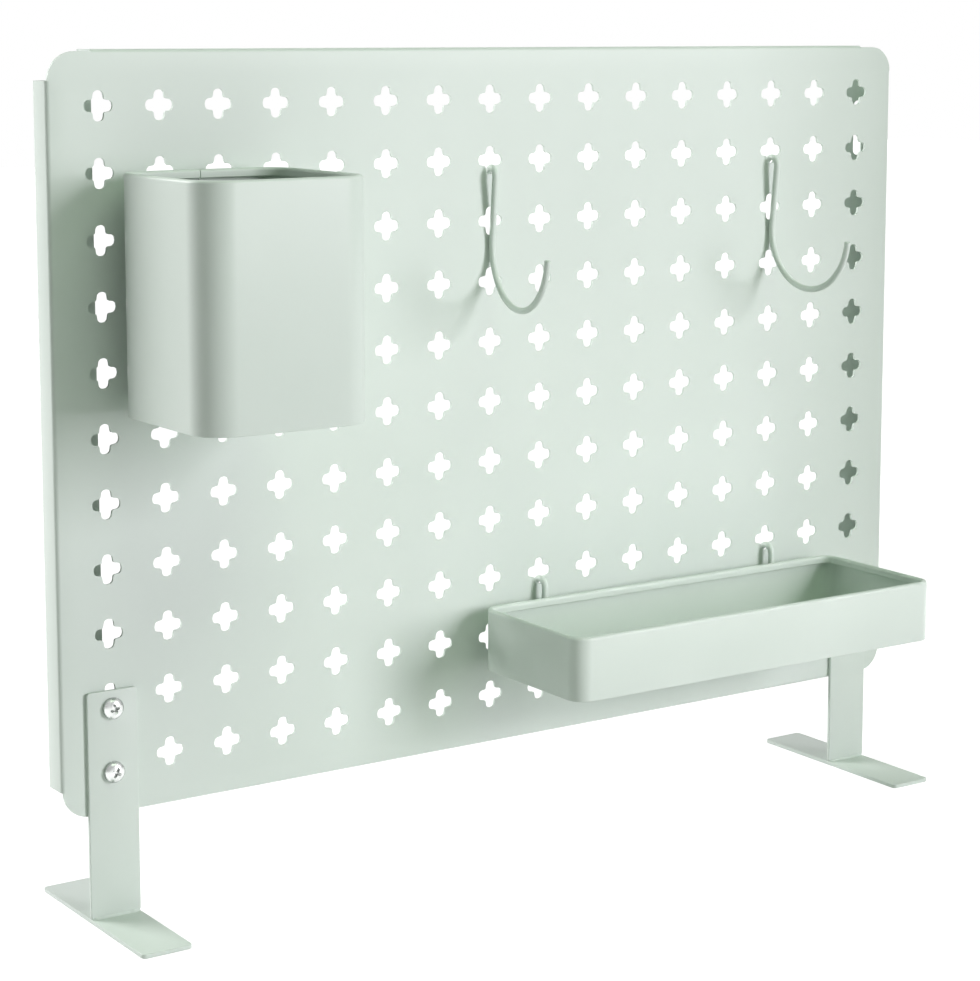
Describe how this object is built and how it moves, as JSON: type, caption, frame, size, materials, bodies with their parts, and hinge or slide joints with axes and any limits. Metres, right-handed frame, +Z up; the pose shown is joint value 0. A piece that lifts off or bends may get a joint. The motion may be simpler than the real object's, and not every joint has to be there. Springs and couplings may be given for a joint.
{
  "type": "desktop pegboard organizer",
  "caption": "Free-standing steel pegboard on two feet, with a lift-off pen cup, a shallow tray and J-shaped wire hooks hung in cross-shaped holes.",
  "frame": {"origin": "on the desk, under the middle of the bounding box", "axes": "+X to the right as seen from the front, -Y towards the user, +Z up"},
  "size_m": [0.5, 0.147, 0.4],
  "materials": {
    "powder_coat": "matt sage-mint powder coat on sheet steel and wire, fine texture",
    "zinc_plated_steel": "bright zinc plate"
  },
  "bodies": {
    "stand": {"pegboard_panel": "powder_coat", "left_upright": "powder_coat", "right_upright": "powder_coat", "left_foot_plate": "powder_coat", "right_foot_plate": "powder_coat", "upper_left_screw": "zinc_plated_steel", "lower_left_screw": "zinc_plated_steel", "upper_right_screw": "zinc_plated_steel", "lower_right_screw": "zinc_plated_steel", "upper_left_nut": "zinc_plated_steel", "lower_left_nut": "zinc_plated_steel", "upper_right_nut": "zinc_plated_steel", "lower_right_nut": "zinc_plated_steel"},
    "pen_cup": {"cup_wall": "powder_coat", "cup_base": "powder_coat", "cup_hanger_left": "powder_coat", "cup_hanger_right": "powder_coat"},
    "tray": {"tray_wall": "powder_coat", "tray_base": "powder_coat", "tray_hanger_left": "powder_coat", "tray_hanger_right": "powder_coat"},
    "left_hook": {"wire_hook_left": "powder_coat"},
    "right_hook": {"wire_hook_right": "powder_coat"}
  },
  "joints": [
    {"name": "cup_lift", "type": "slide", "parent": "stand", "child": "pen_cup", "axis": [0, 0, 1], "range_m": [0, 0.008]},
    {"name": "tray_lift", "type": "slide", "parent": "stand", "child": "tray", "axis": [0, 0, 1], "range_m": [0, 0.008]},
    {"name": "left_hook_lift", "type": "slide", "parent": "stand", "child": "left_hook", "axis": [0, 0, 1], "range_m": [0, 0.008]},
    {"name": "right_hook_lift", "type": "slide", "parent": "stand", "child": "right_hook", "axis": [0, 0, 1], "range_m": [0, 0.008]}
  ]
}
